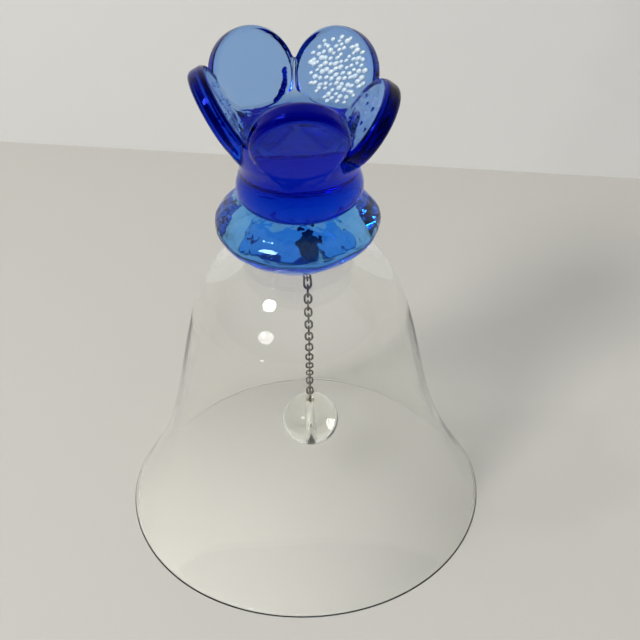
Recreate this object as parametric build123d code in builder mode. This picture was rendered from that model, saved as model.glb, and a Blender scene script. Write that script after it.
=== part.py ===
from build123d import *

import math
import os

# Hand bell of clear blown glass, with a blue glass handle and a glass bead on a chain as its clapper.
#
# The bell stands on its rim. The origin is the centre of the rim's foot, +Z points up the bell's axis,
# and sizes are in millimetres. From the rim upwards it is made of a clear blown bell, a blue knop fused
# on its flat top, and a blue crown: a collar, a cup and five round petals in one piece of glass. Inside
# hang, from the dome down, a dab of cement, a wire eye, a cable chain and the pierced bead on its eye pin.

os.makedirs("parts", exist_ok=True)

# Clear bell
rim_radius = 40.0  # outside, at the foot
rim_flat = 0.6  # width of the ground foot that it stands on
rim_round = 0.35  # fire-polished edge each side of the foot
flare_angle = 32.0  # how far the wall leans out at the rim, from vertical
skirt_radius, skirt_height = 30.4, 20.0  # where the flare ends
waist_radius, waist_height = 25.9, 38.0  # middle of the long wall
shoulder_radius, shoulder_drop = 23.1, 17.0  # where the dome begins, and how far below the top
shoulder_lean = math.radians(15.0)  # how far the wall leans in there, from vertical
dome_radius, dome_drop = 18.4, 6.0  # middle of the dome's turn, and how far below the top
bell_height = 68.0  # top of the clear glass, where the knop sits
seat_radius = 11.0  # flat on top for the knop
bell_wall = rim_flat + 2 * rim_round  # 1.3, from rim to shoulder
dome_wall = 3.2  # at the very top
ceiling_radius = 6.0  # flat inside the dome's top

# Blue knop
knop_radius = 16.7
knop_height = 11.3
knop_widest = 6.3  # height of its widest ring above the seat
knop_top_radius = 9.0

# Blue crown
crown_shift = 0.7  # the collar and cup stand a little to one side of the bell's axis, as hand work does
collar_radius = 12.65
collar_widest = 3.9  # height of its widest ring above the knop
groove_radius = 11.8  # between the collar and the cup
groove_height = 7.9  # above the knop
cup_bulge_radius, cup_bulge_height = 12.5, 11.0
cup_lip_radius, cup_height = 14.3, 17.3  # outside, at the cup's rim between the petals, above the knop
cup_wall = 2.9
cup_floor = 16.3  # inside floor, above the knop
cup_floor_radius = 9.0
petal_thickness = 4.3
petal_radius = 9.3
petal_centre_radius = 14.1  # from the bell's axis to the middle of a petal's round end
petal_centre_height = 21.5  # above the knop
petal_root_width = 10.0
petal_root_length = 8.5  # from the middle of the round end to the middle of the root, down in the cup
petal_edge_round = 1.5
pad_radius = 7.9  # pressed round pad on each petal's inner face
pad_depth = 0.25
# Each petal is pulled out by hand: heading about the axis, lean from vertical, own twist, and lift.
petals = (
    (-87.0, 22.0, 0.0, -1.3),
    (-19.0, 37.0, -15.0, -3.3),
    (53.5, 27.0, 0.0, -0.5),
    (124.0, 27.0, 0.0, 0.0),
    (188.0, 27.0, 0.0, -1.0),
)

# Hanger in the dome
hanger_offset = 1.6  # along X: it is cemented a little off the bell's axis
hanger_wire = 0.60  # diameter
hanger_loop = 0.90  # radius of the loop's centreline
hanger_shank = 1.2
cement_radius = 2.0
cement_depth = 1.6
cement_swell = 0.62, 0.72  # shares of its radius and depth that its side passes through
loop_clearance = 0.1  # between the cement and the top of the loop

# Chain
link_count = 22
link_wire = 0.42  # diameter
link_width = 1.75  # outside
link_length = 2.37  # outside
chain_play = 0.04  # gap between one wire and the next

# Clapper
bead_radius = 6.25  # at its widest
bead_half_height = 5.45  # at the bore, so it is slightly flat
bead_bore = 1.50  # diameter
bead_bore_chamfer = 0.25
pin_wire = 0.60
pin_loop = 0.80  # radius of the loop's centreline
pin_shank = 1.6  # how deep the pin goes into the bead
cement_overrun = 0.5  # cement in the bore past the pin's end
pin_lift = 0.15  # from the bead's top to the underside of the loop

# Places worked out from the sizes above
shoulder_height = bell_height - shoulder_drop
dome_height = bell_height - dome_drop
ceiling_height = bell_height - dome_wall
knop_top = bell_height + knop_height
loop_top = ceiling_height - cement_depth
hanger_centre = loop_top - hanger_loop - hanger_wire / 2 - loop_clearance
link_span = link_length - link_wire  # between the centres of a link's two end wires
link_pitch = link_span - link_wire - chain_play
first_hinge = hanger_centre - hanger_loop
first_reach = (hanger_wire + link_wire) / 2 + chain_play  # link's top wire above the wire it hangs on
second_hinge = first_hinge + first_reach - link_span
last_hinge = second_hinge - (link_count - 1) * link_pitch
pin_reach = (pin_wire + link_wire) / 2 + chain_play
pin_centre = last_hinge + pin_reach - pin_loop
bead_top = pin_centre - pin_loop - pin_wire / 2 - pin_lift
bead_centre = bead_top - bead_half_height


def save(part, name):
    """Labels a finished piece and writes it as a node."""
    part.label = name
    export_step(part, f"parts/{name}.step")


def bell():
    """Blown bell: a thin wall that flares to the rim and thickens into the dome, with a flat seat on top."""
    flare = math.radians(flare_angle)
    outside = [
        (rim_radius, rim_round),
        (skirt_radius, skirt_height),
        (waist_radius, waist_height),
        (shoulder_radius, shoulder_height),
    ]
    inside = [(radius - bell_wall, height) for radius, height in outside]
    ends = [(-math.sin(flare), math.cos(flare)), (-math.sin(shoulder_lean), math.cos(shoulder_lean))]
    with BuildPart() as shell:
        with BuildSketch(Plane.XZ):
            with BuildLine():
                Spline(*outside, tangents=ends)
                Spline(
                    outside[-1],
                    (dome_radius, dome_height),
                    (seat_radius, bell_height),
                    tangents=[ends[1], (-1, 0.3)],
                )
                Polyline(
                    (seat_radius, bell_height),
                    (0, bell_height),
                    (0, ceiling_height),
                    (ceiling_radius, ceiling_height),
                )
                Spline((ceiling_radius, ceiling_height), inside[-1], tangents=[(1, 0), (-ends[1][0], -ends[1][1])])
                Spline(*inside, tangents=ends)
                Polyline(
                    inside[0],
                    (inside[0][0] + rim_round, 0),
                    (rim_radius - rim_round, 0),
                    outside[0],
                )
            make_face()
        revolve(axis=Axis.Z)
    return shell.part


def knop():
    """Squat round knop, flat where it is fused to the bell below and to the crown above."""
    with BuildPart() as ball:
        with BuildSketch(Plane.XZ):
            with BuildLine():
                Polyline((seat_radius, bell_height), (0, bell_height), (0, knop_top), (knop_top_radius, knop_top))
                Spline(
                    (knop_top_radius, knop_top),
                    (knop_radius, bell_height + knop_widest),
                    (seat_radius, bell_height),
                    tangents=[(1, -0.05), (-1, -0.8)],
                )
            make_face()
        revolve(axis=Axis.Z)
    return ball.part


def petal(heading, lean, twist, lift):
    """One petal: a round-ended plate that leans out of the cup, with a round pad pressed into its inner face."""
    turn = math.radians(heading)
    tilt = math.radians(lean)
    outwards = Vector(math.cos(turn), math.sin(turn), 0)
    along = outwards * math.sin(tilt) + Vector(0, 0, math.cos(tilt))
    across = Vector(-math.sin(turn), math.cos(turn), 0).rotate(Axis((0, 0, 0), along), -twist)
    middle = outwards * petal_centre_radius + Vector(0, 0, knop_top + petal_centre_height + lift)
    plane = Plane(origin=middle, x_dir=across, z_dir=across.cross(along))
    with BuildPart() as plate:
        with BuildSketch(plane):
            Circle(petal_radius)
            with Locations((0, -petal_root_length)):
                Circle(petal_root_width / 2)
            make_hull()
        extrude(amount=petal_thickness / 2, both=True)
        fillet(plate.faces().filter_by(plane).edges(), petal_edge_round)
        with BuildSketch(plane.offset(-petal_thickness / 2)):
            Circle(pad_radius)
        extrude(amount=pad_depth, mode=Mode.SUBTRACT)
    return plate.part


def crown():
    """Collar, cup and five petals, one piece of blue glass."""
    lip = knop_top + cup_height
    with BuildPart() as glass:
        with BuildSketch(Plane.XZ.shift_origin((crown_shift, 0, 0))):
            with BuildLine():
                Polyline((cup_floor_radius, knop_top + cup_floor), (0, knop_top + cup_floor), (0, knop_top))
                Line((0, knop_top), (knop_top_radius, knop_top))
                Spline(
                    (knop_top_radius, knop_top),
                    (collar_radius, knop_top + collar_widest),
                    (groove_radius, knop_top + groove_height),
                    (cup_bulge_radius, knop_top + cup_bulge_height),
                    (cup_lip_radius, lip),
                    tangents=[(1, 0), (0.3, 1)],
                )
                Line((cup_lip_radius, lip), (cup_lip_radius - cup_wall, lip))
                Line((cup_lip_radius - cup_wall, lip), (cup_floor_radius, knop_top + cup_floor))
            make_face()
        revolve(axis=Axis((crown_shift, 0, 0), (0, 0, 1)))
        for heading, lean, twist, lift in petals:
            add(petal(heading, lean, twist, lift))
    return glass.part


def hanging_plane(height, across_x):
    """Upright plane through the chain's line at a height, facing along Y or, for every other link, along X."""
    facing = (0, -1, 0) if across_x else (1, 0, 0)
    return Plane(origin=(hanger_offset, 0, height), x_dir=(1, 0, 0) if across_x else (0, 1, 0), z_dir=facing)


def level_plane(height):
    """Level plane whose origin is on the chain's line."""
    return Plane(origin=(hanger_offset, 0, height))


def wire_loop(height, radius, wire, shank_end, across_x):
    """Round loop of wire with a straight shank, which runs from the loop to the height shank_end."""
    middle = hanging_plane(height, across_x)
    start = height + math.copysign(radius, shank_end - height)
    with BuildPart() as eye:
        with BuildSketch(Plane(origin=middle.origin + middle.x_dir * radius, x_dir=middle.x_dir, z_dir=(0, 0, 1))):
            Circle(wire / 2)
        revolve(axis=Axis(middle.origin, middle.z_dir))
        with BuildSketch(level_plane(start)):
            Circle(wire / 2)
        extrude(amount=shank_end - start)
    return eye.part


def hanger_cement():
    """Dab of cement under the dome, round the hanger's shank."""
    with BuildPart() as dab:
        with BuildSketch(hanging_plane(0, True)):
            with BuildLine():
                Polyline((0, loop_top), (0, ceiling_height), (cement_radius, ceiling_height))
                Spline(
                    (cement_radius, ceiling_height),
                    (cement_radius * cement_swell[0], ceiling_height - cement_depth * cement_swell[1]),
                    (0, loop_top),
                    tangents=[(-0.35, -1), (-1, 0)],
                )
            make_face()
        revolve(axis=Axis((hanger_offset, 0, 0), (0, 0, 1)))
        with BuildSketch(level_plane(loop_top + hanger_shank)):
            Circle(hanger_wire / 2)
        extrude(amount=-2 * hanger_shank, mode=Mode.SUBTRACT)
    return dab.part


def link(top_wire, across_x):
    """One oval link of round wire, whose upper end wire is centred at the height top_wire."""
    bend = (link_width - link_wire) / 2
    straight = link_span - 2 * bend
    with BuildPart() as oval:
        with BuildLine(hanging_plane(top_wire - link_span / 2, across_x)) as path:
            Line((bend, -straight / 2), (bend, straight / 2))
            CenterArc((0, straight / 2), bend, 0, 180)
            Line((-bend, straight / 2), (-bend, -straight / 2))
            CenterArc((0, -straight / 2), bend, 180, 180)
        with BuildSketch(Plane(path.line @ 0, z_dir=path.line % 0)):
            Circle(link_wire / 2)
        sweep()
    return oval.part


def bead():
    """Clear glass bead, a slightly flattened ball with a straight bore from top to bottom."""
    mouth = bead_bore / 2 + bead_bore_chamfer
    wall_end = bead_half_height - bead_bore_chamfer
    with BuildPart() as ball:
        with BuildSketch(hanging_plane(bead_centre, True)):
            with BuildLine():
                ThreePointArc((mouth, -bead_half_height), (bead_radius, 0), (mouth, bead_half_height))
                Polyline(
                    (mouth, bead_half_height),
                    (bead_bore / 2, wall_end),
                    (bead_bore / 2, -wall_end),
                    (mouth, -bead_half_height),
                )
            make_face()
        revolve(axis=Axis((hanger_offset, 0, 0), (0, 0, 1)))
    return ball.part


def bead_cement():
    """Cement in the bead's bore, round the pin's shank and a little past its end."""
    with BuildPart() as plug:
        with BuildSketch(level_plane(bead_top - bead_bore_chamfer)):
            Circle(bead_bore / 2)
        extrude(amount=bead_bore_chamfer - pin_shank - cement_overrun)
        with BuildSketch(level_plane(bead_top)):
            Circle(pin_wire / 2)
        extrude(amount=-pin_shank, mode=Mode.SUBTRACT)
    return plug.part


save(bell(), "bell")
save(knop(), "knop")
save(crown(), "crown")
save(hanger_cement(), "hanger_cement")
save(wire_loop(hanger_centre, hanger_loop, hanger_wire, loop_top + hanger_shank, True), "hanger_eye")
for number in range(link_count):
    top_wire = second_hinge + link_span - number * link_pitch
    save(link(top_wire, number % 2 == 1), f"chain_link_{number + 1:02d}")
save(wire_loop(pin_centre, pin_loop, pin_wire, bead_top - pin_shank, link_count % 2 == 1), "clapper_pin")
save(bead(), "clapper_bead")
save(bead_cement(), "clapper_cement")

print("hinges", [round(z, 3) for z in (first_hinge, second_hinge, last_hinge)], "pitch", round(link_pitch, 3))
print("bead centre", round(bead_centre, 3), "ceiling", ceiling_height)
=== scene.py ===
import math

import bpy
import numpy as np
from mathutils import Euler, Matrix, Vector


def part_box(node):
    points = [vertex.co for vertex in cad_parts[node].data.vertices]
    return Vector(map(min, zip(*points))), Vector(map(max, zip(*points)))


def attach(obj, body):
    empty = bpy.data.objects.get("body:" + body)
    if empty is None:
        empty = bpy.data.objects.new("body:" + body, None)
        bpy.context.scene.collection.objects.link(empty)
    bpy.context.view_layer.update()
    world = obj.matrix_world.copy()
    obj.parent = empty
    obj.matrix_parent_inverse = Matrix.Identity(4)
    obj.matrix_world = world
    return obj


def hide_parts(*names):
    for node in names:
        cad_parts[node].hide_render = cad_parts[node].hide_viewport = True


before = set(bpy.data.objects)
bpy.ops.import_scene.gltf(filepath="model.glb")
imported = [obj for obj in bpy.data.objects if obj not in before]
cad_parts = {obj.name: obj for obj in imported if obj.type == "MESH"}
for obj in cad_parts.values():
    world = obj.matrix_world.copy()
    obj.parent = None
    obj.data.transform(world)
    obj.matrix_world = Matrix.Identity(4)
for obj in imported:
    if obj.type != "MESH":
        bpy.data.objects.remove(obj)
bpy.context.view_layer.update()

mm = 0.001
dice = np.random.default_rng(11)


# Makes a mesh object from vertex rows in millimetres and lists of quads and triangles.
def meshObject(name, points, quads, triangles=()):
    mesh = bpy.data.meshes.new(name)
    fours = np.asarray(quads, int).reshape(-1, 4).tolist()
    threes = np.asarray(triangles, int).reshape(-1, 3).tolist()
    mesh.from_pydata((np.asarray(points) * mm).tolist(), [], fours + threes)
    mesh.polygons.foreach_set("use_smooth", np.ones(len(mesh.polygons), bool))
    mesh.update()
    piece = bpy.data.objects.new(name, mesh)
    bpy.context.collection.objects.link(piece)
    return piece


# Clamped cubic spline through points: with the chord lengths h as its parameter, the second derivatives m
# solve one band system, and each span is (1-s) p0 + s p1 plus h*h/6 times the cubic terms in m.
def splineThrough(points, startWay, endWay, count):
    p = np.asarray(points, float)
    h = np.linalg.norm(np.diff(p, axis=0), axis=1)
    t = np.concatenate([[0], np.cumsum(h)])
    ways = np.array([startWay, endWay], float)
    ways /= np.linalg.norm(ways, axis=1, keepdims=True)
    slope = np.vstack([ways[:1], np.diff(p, axis=0) / h[:, None], ways[1:]])
    middle = 2 * (np.append(h, 0) + np.append(0, h))
    band = np.diag(middle) + np.diag(h, 1) + np.diag(h, -1)
    m = np.linalg.solve(band, 6 * np.diff(slope, axis=0))
    at = np.linspace(0, t[-1], count)
    span = np.clip(np.searchsorted(t, at, side="right") - 1, 0, len(h) - 1)
    s = ((at - t[span]) / h[span])[:, None]
    cubic = ((1 - s) ** 3 - (1 - s)) * m[span] + (s**3 - s) * m[span + 1]
    return (1 - s) * p[span] + s * p[span + 1] + h[span][:, None] ** 2 / 6 * cubic


# Arc of a circle in the profile plane, from one angle to another in degrees.
def arcPoints(centre, radius, start, end, count):
    a = np.radians(np.linspace(start, end, count))
    return np.stack([centre[0] + radius * np.cos(a), centre[1] + radius * np.sin(a)], 1)


# Quads of a grid of rows by columns that closes round its columns, and round its rows if asked. They face
# out where the rows run down the outside and the columns run counterclockwise.
def ringQuads(rows, columns, closed=False):
    i = np.arange(rows if closed else rows - 1)[:, None]
    j = np.arange(columns)[None, :]
    down, right = (i + 1) % rows, (j + 1) % columns
    corners = [i * columns + j, down * columns + j, down * columns + right, i * columns + right]
    return np.stack(np.broadcast_arrays(*corners), -1).reshape(-1, 4)


# Turned shape: each profile point (radius, height) goes round the upright line through (centre, 0), and
# its radius is multiplied by 1 + wobble(angle, height). A profile that starts and ends on the axis gets
# a pole at each end, and a closed one is joined end to start.
def turnedPiece(name, profile, segments, centre=0.0, wobble=None, closed=False):
    ring = profile if closed else profile[1:-1]
    a = np.linspace(0, 2 * np.pi, segments, endpoint=False)[None, :]
    r, z = ring[:, :1], ring[:, 1:]
    if wobble:
        r = r * (1 + wobble(a, z))
    points = np.stack([centre + r * np.cos(a), r * np.sin(a), z + 0 * a], -1).reshape(-1, 3)
    quads = ringQuads(len(ring), segments, closed)
    if closed:
        return meshObject(name, points, quads)
    around = np.arange(segments)
    after = (around + 1) % segments
    last = (len(ring) - 1) * segments
    poles = [[centre, 0, profile[0, 1]], [centre, 0, profile[-1, 1]]]
    first = np.stack([np.full(segments, len(points)), around, after], 1)
    final = np.stack([np.full(segments, len(points) + 1), last + after, last + around], 1)
    return meshObject(name, np.vstack([points, poles]), quads, np.vstack([first, final]))


def newMaterial(name):
    material = bpy.data.materials.new(name)
    material.use_nodes = True
    tree = material.node_tree
    return material, tree, tree.nodes["Principled BSDF"]


def addNode(tree, kind, **settings):
    node = tree.nodes.new(kind)
    for key, value in settings.items():
        setattr(node, key, value)
    return node


def setInputs(node, **values):
    for key, value in values.items():
        node.inputs[key.replace("_", " ")].default_value = value


# Colour ramp between two colours, each at its place along the ramp.
def colourRamp(tree, first, firstAt, second, secondAt):
    ramp = addNode(tree, "ShaderNodeValToRGB")
    low, high = ramp.color_ramp.elements
    low.position, low.color = firstAt, first + (1,)
    high.position, high.color = secondAt, second + (1,)
    return ramp


surfaceLook = {
    "stretch": (1, 1, 0.35), "waveDetail": 1.5, "waveRoughness": 0.4, "cordScale": 900.0,
    "filmScale": 140.0, "filmRoughness": 0.62, "filmFrom": 0.48, "filmTo": 0.78,
}


# Shared group: hand-worked glass. Broad waves and fine cords from the drawing of the hot glass tilt the
# normal, and a faint film of dust and finger marks lifts the roughness in patches. Each glass sets its own
# wave scale, heights and film.
def glassSurfaceGroup(look):
    group = bpy.data.node_groups.new("handGlass", "ShaderNodeTree")
    face = group.interface
    for title in ("Wave Scale", "Wave Height", "Cord Height", "Film"):
        face.new_socket(title, in_out="INPUT", socket_type="NodeSocketFloat")
    face.new_socket("Normal", in_out="OUTPUT", socket_type="NodeSocketVector")
    face.new_socket("Roughness", in_out="OUTPUT", socket_type="NodeSocketFloat")
    source, target = addNode(group, "NodeGroupInput"), addNode(group, "NodeGroupOutput")
    place = addNode(group, "ShaderNodeTexCoord")
    stretch = addNode(group, "ShaderNodeMapping")
    stretch.inputs["Scale"].default_value = look["stretch"]
    waves = addNode(group, "ShaderNodeTexNoise")
    setInputs(waves, Detail=look["waveDetail"], Roughness=look["waveRoughness"])
    cords = addNode(group, "ShaderNodeTexNoise")
    setInputs(cords, Scale=look["cordScale"], Detail=1.0)
    film = addNode(group, "ShaderNodeTexNoise")
    setInputs(film, Scale=look["filmScale"], Detail=5.0, Roughness=look["filmRoughness"])
    patches = addNode(group, "ShaderNodeMapRange")
    setInputs(patches, From_Min=look["filmFrom"], From_Max=look["filmTo"], To_Min=0.0, To_Max=1.0)
    amount = addNode(group, "ShaderNodeMath", operation="MULTIPLY")
    broad = addNode(group, "ShaderNodeBump")
    broad.inputs["Strength"].default_value = 1.0
    fine = addNode(group, "ShaderNodeBump")
    fine.inputs["Strength"].default_value = 1.0
    join = group.links.new
    join(place.outputs["Object"], stretch.inputs["Vector"])
    join(stretch.outputs["Vector"], waves.inputs["Vector"])
    join(source.outputs["Wave Scale"], waves.inputs["Scale"])
    join(stretch.outputs["Vector"], cords.inputs["Vector"])
    join(place.outputs["Object"], film.inputs["Vector"])
    join(waves.outputs["Fac"], broad.inputs["Height"])
    join(source.outputs["Wave Height"], broad.inputs["Distance"])
    join(cords.outputs["Fac"], fine.inputs["Height"])
    join(source.outputs["Cord Height"], fine.inputs["Distance"])
    join(broad.outputs["Normal"], fine.inputs["Normal"])
    join(film.outputs["Fac"], patches.inputs["Value"])
    join(patches.outputs["Result"], amount.inputs[0])
    join(source.outputs["Film"], amount.inputs[1])
    join(fine.outputs["Normal"], target.inputs["Normal"])
    join(amount.outputs["Value"], target.inputs["Roughness"])
    return group


handGlass = glassSurfaceGroup(surfaceLook)


# Glass with the shared surface. absorb and density say what its depth takes out of the light, and lampsPass
# is the share of the lamps' light that goes on through to the floor.
def glassMaterial(name, look):
    material, tree, shader = newMaterial(name)
    setInputs(shader, Base_Color=look["tint"] + (1,), Transmission_Weight=1.0, IOR=look["ior"], Metallic=0.0)
    setInputs(shader, Specular_Tint=look.get("sheen", (1.0, 1.0, 1.0)) + (1,))
    surface = addNode(tree, "ShaderNodeGroup", node_tree=handGlass)
    setInputs(surface, Wave_Scale=look["waveScale"], Wave_Height=look["waveHeight"] * mm,
              Cord_Height=look["cordHeight"] * mm, Film=look["film"])
    tree.links.new(surface.outputs["Normal"], shader.inputs["Normal"])
    tree.links.new(surface.outputs["Roughness"], shader.inputs["Roughness"])
    output = tree.nodes["Material Output"]
    if "density" in look:
        volume = addNode(tree, "ShaderNodeVolumeAbsorption")
        setInputs(volume, Color=look["absorb"] + (1,), Density=look["density"])
        tree.links.new(volume.outputs["Volume"], output.inputs["Volume"])
    if look.get("lampsPass"):
        path = addNode(tree, "ShaderNodeLightPath")
        clear = addNode(tree, "ShaderNodeBsdfTransparent")
        clear.inputs["Color"].default_value = look["lampsPass"] + (1,)
        mix = addNode(tree, "ShaderNodeMixShader")
        tree.links.new(path.outputs["Is Shadow Ray"], mix.inputs["Fac"])
        tree.links.new(shader.outputs["BSDF"], mix.inputs[1])
        tree.links.new(clear.outputs["BSDF"], mix.inputs[2])
        tree.links.new(mix.outputs["Shader"], output.inputs["Surface"])
    return material


print("helpers ready")


bellShape = {
    "outside": [(40.0, 0.35), (30.4, 20.0), (25.9, 38.0), (23.1, 51.0)],
    "flare": 32.0,
    "shoulderLean": 15.0,
    "dome": (18.4, 62.0),
    "seat": (11.0, 68.04),
    "ceiling": (6.0, 64.8),
    "wall": 1.3,
    "rimFlat": 0.54,
    "wallRows": 90,
    "domeRows": 36,
    "segments": 288,
}
clearLook = {
    "tint": (0.98, 0.982, 0.968), "ior": 1.5, "waveScale": 55.0, "waveHeight": 0.16, "cordHeight": 0.004,
    "film": 0.05, "lampsPass": (0.70, 0.71, 0.71),
}


# Blown unevenness: the radius swells and shrinks by a few hundredths of a millimetre in slow waves.
def blownWobble(a, z):
    slow = 0.0016 * np.sin(2 * a + 0.9) + 0.0011 * np.sin(3 * a - z / 11)
    return slow + 0.0009 * np.sin(5 * a + z / 6)


# Profile of the shell, from the pole on its seat down the outside, round the fire-polished rim and up the
# inside to the pole of its ceiling.
def makeBell(shape):
    flare, lean = math.radians(shape["flare"]), math.radians(shape["shoulderLean"])
    rimWay, shoulderWay = (-math.sin(flare), math.cos(flare)), (-math.sin(lean), math.cos(lean))
    outside = splineThrough(shape["outside"], rimWay, shoulderWay, shape["wallRows"])
    domePoints = [shape["outside"][-1], shape["dome"], shape["seat"]]
    dome = splineThrough(domePoints, shoulderWay, (-1, 0.3), shape["domeRows"])
    shift = np.array([shape["wall"], 0.0])
    inside = outside - shift
    ceilingWay = (-shoulderWay[0], -shoulderWay[1])
    vault = splineThrough([shape["ceiling"], inside[-1]], (1, 0), ceilingWay, shape["domeRows"])
    half, flat = shape["wall"] / 2, shape["rimFlat"]
    rim = arcPoints((outside[0, 0] - half, half * flat), half, -5, -175, 15) * (1, 0.999)
    rim[:, 1] = np.maximum((rim[:, 1] - half * flat) * flat + half * flat, 0)
    seat = np.linspace(0, shape["seat"][0], 8)
    top = np.stack([seat, np.full(8, shape["seat"][1])], 1)
    roof = np.stack([np.linspace(0, shape["ceiling"][0], 6), np.full(6, shape["ceiling"][1])], 1)
    parts = [top, dome[::-1][1:], outside[::-1][1:], rim, inside[1:], vault[::-1][1:], roof[::-1][1:]]
    profile = np.vstack(parts)
    return turnedPiece("bellGlass", profile, shape["segments"], wobble=blownWobble)


clearGlass = glassMaterial("clearBlownGlass", clearLook)
bellGlass = makeBell(bellShape)
bellGlass.data.materials.append(clearGlass)
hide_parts("bell")
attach(bellGlass, "bell")
print("bell blown")


knopShape = {
    "seatRadius": 11.0, "bottom": 67.96, "top": 79.34, "widest": (16.7, 74.3), "topRadius": 9.0,
    "sideRows": 72, "segments": 192,
}
knopLook = {
    "tint": (0.97, 0.985, 1.0), "ior": 1.5, "waveScale": 300.0, "waveHeight": 0.42, "cordHeight": 0.004,
    "film": 0.03, "absorb": (0.0, 0.60, 0.975), "density": 135.0, "sheen": (0.4, 0.7, 1.0),
}


# The knop was turned while soft, so it is a little out of round and tooled.
def knopWobble(a, z):
    return 0.006 * np.sin(3 * a + 0.4) + 0.004 * np.sin(7 * a + z / 1.3) + 0.003 * np.sin(11 * a - z)


def makeKnop(shape):
    side = splineThrough(
        [(shape["topRadius"], shape["top"]), shape["widest"], (shape["seatRadius"], shape["bottom"])],
        (1, -0.05), (-1, -0.8), shape["sideRows"],
    )
    lid = np.stack([np.linspace(0, shape["topRadius"], 8), np.full(8, shape["top"])], 1)
    foot = np.stack([np.linspace(shape["seatRadius"], 0, 8), np.full(8, shape["bottom"])], 1)
    profile = np.vstack([lid, side[1:], foot[1:]])
    return turnedPiece("knopGlass", profile, shape["segments"], wobble=knopWobble)


blueGlass = glassMaterial("blueKnopGlass", knopLook)
knopGlass = makeKnop(knopShape)
knopGlass.data.materials.append(blueGlass)
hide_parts("knop")
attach(knopGlass, "bell")
print("knop turned")


# Each petal is a heading, a lean out, a twist and a lift, in degrees and millimetres.
crownShape = {
    "voxel": 0.27, "melt": 3,
    "petals": [(-87.0, 22.0, 0.0, -1.3), (-19.0, 37.0, -15.0, -3.3), (53.5, 27.0, 0.0, -0.5),
               (124.0, 27.0, 0.0, 0.0), (188.0, 27.0, 0.0, -1.0)],
    "presses": (-0.1, 0.3, 0.3, 0.45, 0.3), "centreRadius": 14.1, "centreHeight": 100.8, "thickness": 4.3,
    "padRadius": 8.5, "padDepth": 0.25, "padEdge": 0.35, "foot": 79.26, "footTop": 79.45, "footRadius": 8.3,
}
crownLook = {
    "tint": (0.97, 0.98, 1.0), "ior": 1.5, "waveScale": 130.0, "waveHeight": 0.12, "cordHeight": 0.003,
    "film": 0.03, "absorb": (0.0, 0.44, 0.92), "density": 330.0, "sheen": (0.02, 0.04, 0.7),
}


# Axes of one petal's plate: its middle, its way up, its way across and the way out of its inner face.
def petalAxes(heading, lean, twist, lift):
    turn, tilt, own = np.radians([heading, lean, -twist])
    out = np.array([math.cos(turn), math.sin(turn), 0])
    up = out * math.sin(tilt) + np.array([0, 0, math.cos(tilt)])
    side = np.array([-math.sin(turn), math.cos(turn), 0])
    across = side * math.cos(own) + np.cross(up, side) * math.sin(own)
    middle = out * crownShape["centreRadius"] + np.array([0, 0, crownShape["centreHeight"] + lift])
    inner = -np.cross(across, up)
    inner *= -np.sign(inner @ out)
    return middle, up, across, inner


# The crown's solid melted into one skin: a copy of its mesh is merged, rebuilt on a fine grid and smoothed.
# Each petal's round pad is then pressed thinner from both faces with a soft edge (the first petal's is
# thickened), and the foot is set flat just inside the knop's top.
def makeCrown(shape):
    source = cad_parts["crown"]
    draft = bpy.data.objects.new("crownDraft", source.data.copy())
    bpy.context.collection.objects.link(draft)
    draft.modifiers.new("merge", "WELD").merge_threshold = 0.00001
    grid = draft.modifiers.new("grid", "REMESH")
    grid.mode, grid.voxel_size, grid.use_smooth_shade = "VOXEL", shape["voxel"] * mm, True
    melt = draft.modifiers.new("melt", "SMOOTH")
    melt.factor, melt.iterations = 0.5, shape["melt"]
    ready = draft.evaluated_get(bpy.context.evaluated_depsgraph_get())
    mesh = bpy.data.meshes.new_from_object(ready)
    mesh.name = "crownGlass"
    bpy.data.objects.remove(draft)
    points = np.empty(len(mesh.vertices) * 3)
    mesh.vertices.foreach_get("co", points)
    points = points.reshape(-1, 3) / mm
    for petal, press in zip(shape["petals"], shape["presses"]):
        middle, up, across, inner = petalAxes(*petal)
        offset = points - middle
        reach = np.hypot(offset @ up, offset @ across)
        depth = offset @ inner
        soft = 0.5 - 0.5 * np.tanh((reach - shape["padRadius"]) / shape["padEdge"])
        near = np.abs(depth) < shape["thickness"] * 0.75
        points -= (near * soft * press * np.sign(depth))[:, None] * inner
    axisReach = np.hypot(points[:, 0], points[:, 1])
    foot = (points[:, 2] < shape["footTop"]) & (axisReach < shape["footRadius"])
    points[foot, 2] = shape["foot"]
    mesh.vertices.foreach_set("co", (points * mm).ravel())
    mesh.update()
    piece = bpy.data.objects.new("crownGlass", mesh)
    bpy.context.collection.objects.link(piece)
    mesh.polygons.foreach_set("use_smooth", np.ones(len(mesh.polygons), bool))
    mesh.materials.clear()
    return piece


cobaltGlass = glassMaterial("cobaltCrownGlass", crownLook)
crownGlass = makeCrown(crownShape)
crownGlass.data.materials.append(cobaltGlass)
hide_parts("crown")
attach(crownGlass, "bell")
print("crown melted", len(crownGlass.data.polygons), "faces")


# Four pads carry low beads of glass, counted per petal. A bead is a flattened ball, drawn out along the
# grain and sunk in the pad. They lie on a sunflower spiral, but on one petal they stand in a curved row.
stampShape = {
    "counts": [0, 10, 98, 10, 10], "radius": (0.40, 0.64), "height": 0.42, "rings": 6, "sides": 12,
    "spread": 6.6, "aside": (0, 0, -1.2, 0, 0), "raise": (0, -0.5, 1.0, -0.5, -0.5), "grain": 0.9,
    "longer": (1.15, 1.7), "goldenTurn": 2.39996, "stray": 0.06,
    "row": {"petal": 3, "reach": 6.3, "from": 3.25, "to": 4.3, "bigger": 1.35},
}
# Colours of the painted glints: a nearly white finish that stands in for lamp highlights on the beads.
glintPaintLook = {
    "shade": (0.60, 0.84, 0.98), "shadeAt": 0.36, "pale": (0.88, 0.98, 1.0), "paleAt": 0.52, "scale": 2200.0,
}


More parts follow.
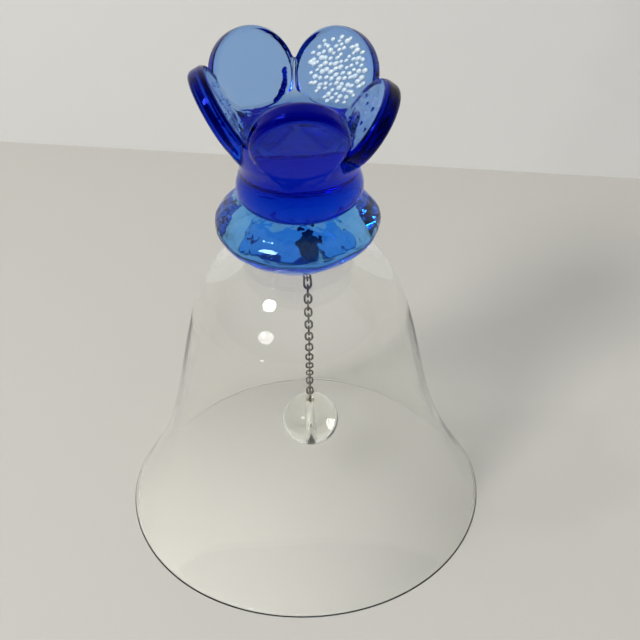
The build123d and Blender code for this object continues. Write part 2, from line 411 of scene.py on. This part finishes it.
def stampBeads(shape, name, chosen):
    tops, sides = shape["rings"], shape["sides"]
    polar = np.linspace(0, np.pi, tops + 2)[1:-1, None]
    turn = np.linspace(0, 2 * np.pi, sides, endpoint=False)[None, :]
    ring = [np.sin(polar) * np.cos(turn), np.sin(polar) * np.sin(turn), np.cos(polar) + 0 * turn]
    ball = np.vstack([np.stack(ring, -1).reshape(-1, 3), [[0, 0, 1], [0, 0, -1]]])
    quads = ringQuads(tops, sides)
    around = np.arange(sides)
    after = (around + 1) % sides
    last, pole = (tops - 1) * sides, tops * sides
    caps = np.vstack([
        np.stack([around, after, np.full(sides, pole)], 1),
        np.stack([last + after, last + around, np.full(sides, pole + 1)], 1),
    ])
    points, allQuads, allCaps, start = [], [], [], 0
    for index in chosen:
        petal, count = crownShape["petals"][index], shape["counts"][index]
        middle, up, across, inner = petalAxes(*petal)
        spread = shape["spread"] * np.sqrt((np.arange(count) + 0.5) / count)
        swirl = np.arange(count) * shape["goldenTurn"] + dice.normal(0, shape["stray"], count)
        row = shape["row"]
        if index == row["petal"]:
            spread, swirl = np.full(count, row["reach"]), np.linspace(row["from"], row["to"], count)
        size = dice.uniform(*shape["radius"], count)
        if index == row["petal"]:
            size = size * row["bigger"]
        face = crownShape["thickness"] / 2 - crownShape["padDepth"] - crownShape["presses"][index]
        aside, above = shape["aside"][index], shape["raise"][index]
        seat = middle + aside * across + above * up + (face + 0.02) * inner
        seat = seat + (spread * np.cos(swirl))[:, None] * across + (spread * np.sin(swirl))[:, None] * up
        height = shape["height"] * size / shape["radius"][1]
        stretch = np.sqrt(dice.uniform(*shape["longer"], count))
        local = ball[None] * np.stack([size * stretch, size / stretch, height], 1)[:, None, :]
        grain = shape["grain"]
        along = math.cos(grain) * up - math.sin(grain) * across
        axes = np.stack([along, np.cross(inner, along), inner])
        placed = seat[:, None, :] + local @ axes
        points.append(placed.reshape(-1, 3))
        step = start + np.arange(count)[:, None, None] * len(ball)
        allQuads.append((quads[None] + step).reshape(-1, 4))
        allCaps.append((caps[None] + step).reshape(-1, 3))
        start += count * len(ball)
    return meshObject(name, np.vstack(points), np.vstack(allQuads), np.vstack(allCaps))


# The beads on one petal get a nearly white, half-clear finish with paler specks: painted glints, a white
# colour that stands in for the lamps' highlights on the beads.
def glintPaintMaterial(look):
    material, tree, shader = newMaterial("paintedGlintStamp")
    place = addNode(tree, "ShaderNodeTexCoord")
    speck = addNode(tree, "ShaderNodeTexNoise")
    setInputs(speck, Scale=look["scale"], Detail=2.0)
    colour = colourRamp(tree, look["shade"], look["shadeAt"], look["pale"], look["paleAt"])
    bump = addNode(tree, "ShaderNodeBump")
    setInputs(bump, Strength=0.5, Distance=0.03 * mm)
    tree.links.new(place.outputs["Object"], speck.inputs["Vector"])
    tree.links.new(speck.outputs["Fac"], colour.inputs["Fac"])
    tree.links.new(speck.outputs["Fac"], bump.inputs["Height"])
    tree.links.new(colour.outputs["Color"], shader.inputs["Base Color"])
    tree.links.new(bump.outputs["Normal"], shader.inputs["Normal"])
    setInputs(shader, Roughness=0.12, Transmission_Weight=0.25, IOR=1.5)
    return material


# The back-right pad's beads wear the painted glints.
paintedGlint = glintPaintMaterial(glintPaintLook)
# The curved row of beads on the back-left pad uses the crown's glass at a far higher density, so it shows
# dark navy: painted shade, standing in for beads that are seen dark in shade.
shadeDarkGlass = glassMaterial("paintedShadeDrops", dict(crownLook, density=9000.0))
stampSets = (
    ("meltedStamps", (1, 4), cobaltGlass),
    ("paintedShadeDrops", (3,), shadeDarkGlass),
    ("paintedGlintStamps", (2,), paintedGlint),
)
for name, chosen, finish in stampSets:
    stamps = stampBeads(stampShape, name, chosen)
    stamps.data.materials.append(finish)
    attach(stamps, "bell")
print("pads stamped")


beadShape = {
    "radius": 6.25, "half": 5.45, "bore": 0.78, "chamfer": 0.25, "arcRows": 72, "boreRows": 24,
    "segments": 128,
}
beadLook = {
    "tint": (0.965, 0.97, 0.92), "ior": 1.52, "waveScale": 260.0, "waveHeight": 0.10, "cordHeight": 0.004,
    "film": 0.06, "lampsPass": (0.70, 0.70, 0.66),
}


# Closed profile of the bead: an arc through its widest ring between the mouths, then down the bore.
def makeBead(shape):
    low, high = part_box("clapper_bead")
    centre = ((low[0] + high[0]) / 2 / mm, (low[2] + high[2]) / 2 / mm)
    mouth = shape["bore"] + shape["chamfer"]
    reach = shape["radius"] - mouth
    radius = (reach**2 + shape["half"] ** 2) / (2 * reach)
    end = math.degrees(math.atan2(shape["half"], mouth - (shape["radius"] - radius)))
    arc = arcPoints((shape["radius"] - radius, 0), radius, -end, end, shape["arcRows"])
    wall, rows = shape["half"] - shape["chamfer"], shape["boreRows"]
    bore = np.stack([np.full(rows, shape["bore"]), np.linspace(wall, -wall, rows)], 1)
    profile = np.vstack([arc, bore]) + (0, centre[1])
    return turnedPiece("beadGlass", profile[::-1], shape["segments"], centre=centre[0], closed=True)


beadMaterial = glassMaterial("clearBeadGlass", beadLook)
beadGlass = makeBead(beadShape)
beadGlass.data.materials.append(beadMaterial)
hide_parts("clapper_bead")
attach(beadGlass, "clapper")
print("bead made")


metalLook = {
    "dark": (0.085, 0.072, 0.056), "darkAt": 0.42, "worn": (0.38, 0.335, 0.265), "wornAt": 0.75,
    "scale": 1800.0,
}
cementLook = {
    "brown": (0.50, 0.38, 0.22), "brownAt": 0.35, "pale": (0.80, 0.76, 0.66), "paleAt": 0.65, "scale": 900.0,
}


# Darkened brass: tarnish in small blotches, paler and smoother where the links rub.
def chainMaterial(look):
    material, tree, shader = newMaterial("tarnishedBrass")
    place = addNode(tree, "ShaderNodeTexCoord")
    blotch = addNode(tree, "ShaderNodeTexNoise")
    setInputs(blotch, Scale=look["scale"], Detail=4.0, Roughness=0.6)
    colour = colourRamp(tree, look["dark"], look["darkAt"], look["worn"], look["wornAt"])
    rough = addNode(tree, "ShaderNodeMapRange")
    setInputs(rough, From_Min=0.3, From_Max=0.8, To_Min=0.5, To_Max=0.24)
    bump = addNode(tree, "ShaderNodeBump")
    setInputs(bump, Strength=0.6, Distance=0.02 * mm)
    tree.links.new(place.outputs["Object"], blotch.inputs["Vector"])
    tree.links.new(blotch.outputs["Fac"], colour.inputs["Fac"])
    tree.links.new(blotch.outputs["Fac"], rough.inputs["Value"])
    tree.links.new(blotch.outputs["Fac"], bump.inputs["Height"])
    tree.links.new(colour.outputs["Color"], shader.inputs["Base Color"])
    tree.links.new(rough.outputs["Result"], shader.inputs["Roughness"])
    tree.links.new(bump.outputs["Normal"], shader.inputs["Normal"])
    shader.inputs["Metallic"].default_value = 1.0
    return material


# Set glue: glossy, cloudy amber with darker streaks.
def cementMaterial(look):
    material, tree, shader = newMaterial("amberCement")
    place = addNode(tree, "ShaderNodeTexCoord")
    cloud = addNode(tree, "ShaderNodeTexNoise")
    setInputs(cloud, Scale=look["scale"], Detail=3.0)
    colour = colourRamp(tree, look["brown"], look["brownAt"], look["pale"], look["paleAt"])
    bump = addNode(tree, "ShaderNodeBump")
    setInputs(bump, Strength=0.5, Distance=0.05 * mm)
    tree.links.new(place.outputs["Object"], cloud.inputs["Vector"])
    tree.links.new(cloud.outputs["Fac"], colour.inputs["Fac"])
    tree.links.new(cloud.outputs["Fac"], bump.inputs["Height"])
    tree.links.new(colour.outputs["Color"], shader.inputs["Base Color"])
    tree.links.new(bump.outputs["Normal"], shader.inputs["Normal"])
    setInputs(shader, Roughness=0.15, Transmission_Weight=0.8, IOR=1.47)
    return material


chainMetal = chainMaterial(metalLook)
cement = cementMaterial(cementLook)
linkNodes = [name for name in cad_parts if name.startswith("chain_link")]
metalNodes = ["hanger_eye", "clapper_pin"] + linkNodes
for name in metalNodes + ["hanger_cement", "clapper_cement"]:
    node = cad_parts[name]
    for spot in node.material_slots:
        spot.material = cement if "cement" in name else chainMetal
print("chain finished", len(metalNodes), "metal nodes")


stageLook = {
    "floor": (0.53, 0.512, 0.470), "wall": (0.72, 0.71, 0.675), "half": 1.6, "wallY": 0.155,
    "wallTurn": -0.18, "wallTop": 0.9,
}
lampTable = [
    {"name": "keyLight", "way": (-0.52, -0.50, 0.69), "away": 0.95, "size": 0.24, "watts": 4.6,
     "colour": (1.0, 0.985, 0.96)},
    {"name": "ceilingLight", "way": (-0.45, -0.04, 0.89), "away": 0.9, "size": 0.045, "watts": 0.5,
     "colour": (1.0, 0.99, 0.97)},
    {"name": "windowLight", "way": (-0.62, -0.74, 0.25), "away": 0.8, "size": 0.05, "watts": 0.35,
     "colour": (0.95, 0.97, 1.0)},
]
lampsAimHeight = 0.05
worldLook = {
    "bottom": (0.20, 0.22, 0.27), "low": (0.26, 0.28, 0.33), "high": (0.92, 0.94, 0.97),
    "lowAt": 0.12, "highAt": 0.75, "strength": 0.9,
}
cameraView = {
    "elevation": 36.8, "distance": 0.2728, "lookHeight": 0.0488, "lens": 72.0, "roll": 1.8, "shift": 0.0305,
}


# Matt pale board. Its back is clear, so that a view from behind sees past the wall.
def boardMaterial(name, colour):
    material, tree, shader = newMaterial(name)
    setInputs(shader, Base_Color=colour + (1,), Roughness=0.75)
    geometry = addNode(tree, "ShaderNodeNewGeometry")
    clear = addNode(tree, "ShaderNodeBsdfTransparent")
    mix = addNode(tree, "ShaderNodeMixShader")
    tree.links.new(geometry.outputs["Backfacing"], mix.inputs["Fac"])
    tree.links.new(shader.outputs["BSDF"], mix.inputs[1])
    tree.links.new(clear.outputs["BSDF"], mix.inputs[2])
    tree.links.new(mix.outputs["Shader"], tree.nodes["Material Output"].inputs["Surface"])
    return material


def makeStage(look):
    wide, back, top = look["half"] / mm, look["wallY"] / mm, look["wallTop"] / mm
    skew = wide * look["wallTurn"]
    left, right = back - skew, back + skew
    floorRows = [[-wide, -wide, 0], [wide, -wide, 0], [wide, wide, 0], [-wide, wide, 0]]
    wallRows = [[-wide, left, 0], [wide, right, 0], [wide, right, top], [-wide, left, top]]
    for name, rows, colour in (("floor", floorRows, look["floor"]), ("backBoard", wallRows, look["wall"])):
        piece = meshObject(name, rows, [[0, 1, 2, 3]])
        piece.data.materials.append(boardMaterial(name + "Paint", colour))


# Round lamps, each some way from the bell's middle and turned to face it.
def makeLights(lamps):
    for lamp in lamps:
        data = bpy.data.lights.new(lamp["name"], "AREA")
        data.shape = "DISK"
        data.size, data.energy, data.color = lamp["size"], lamp["watts"], lamp["colour"]
        light = bpy.data.objects.new(lamp["name"], data)
        bpy.context.collection.objects.link(light)
        way = np.array(lamp["way"]) / np.linalg.norm(lamp["way"])
        light.location = way * lamp["away"] + np.array([0, 0, lampsAimHeight])
        x, y, z = way
        light.rotation_euler = (math.acos(z), 0, math.atan2(x, -y))


# Pale sky above, darker towards and under the horizon, which draws the dark outlines of the glass.
def makeWorld(look):
    world = bpy.data.worlds.new("studio")
    world.use_nodes = True
    tree = world.node_tree
    place = addNode(tree, "ShaderNodeTexCoord")
    split = addNode(tree, "ShaderNodeSeparateXYZ")
    ramp = colourRamp(tree, look["bottom"], 0.0, look["high"], look["highAt"])
    low = ramp.color_ramp.elements.new(look["lowAt"])
    low.color = look["low"] + (1,)
    tree.links.new(place.outputs["Generated"], split.inputs["Vector"])
    tree.links.new(split.outputs["Z"], ramp.inputs["Fac"])
    tree.links.new(ramp.outputs["Color"], tree.nodes["Background"].inputs["Color"])
    tree.nodes["Background"].inputs["Strength"].default_value = look["strength"]
    bpy.context.scene.world = world


def makeCamera(view):
    data = bpy.data.cameras.new("camera")
    data.lens, data.sensor_width, data.shift_x = view["lens"], 36.0, view["shift"]
    data.clip_start, data.clip_end = 0.01, 20.0
    camera = bpy.data.objects.new("camera", data)
    bpy.context.collection.objects.link(camera)
    tilt = math.radians(view["elevation"])
    back, rise = view["distance"] * math.cos(tilt), view["distance"] * math.sin(tilt)
    camera.location = (0, -back, view["lookHeight"] + rise)
    aim = Euler((math.pi / 2 - tilt, 0, 0)).to_matrix()
    roll = Matrix.Rotation(math.radians(-view["roll"]), 3, "Z")
    camera.rotation_euler = (aim @ roll).to_euler()
    bpy.context.scene.camera = camera


makeStage(stageLook)
makeLights(lampTable)
makeWorld(worldLook)
makeCamera(cameraView)
bpy.context.scene.view_settings.view_transform = "Standard"
print("stage set")
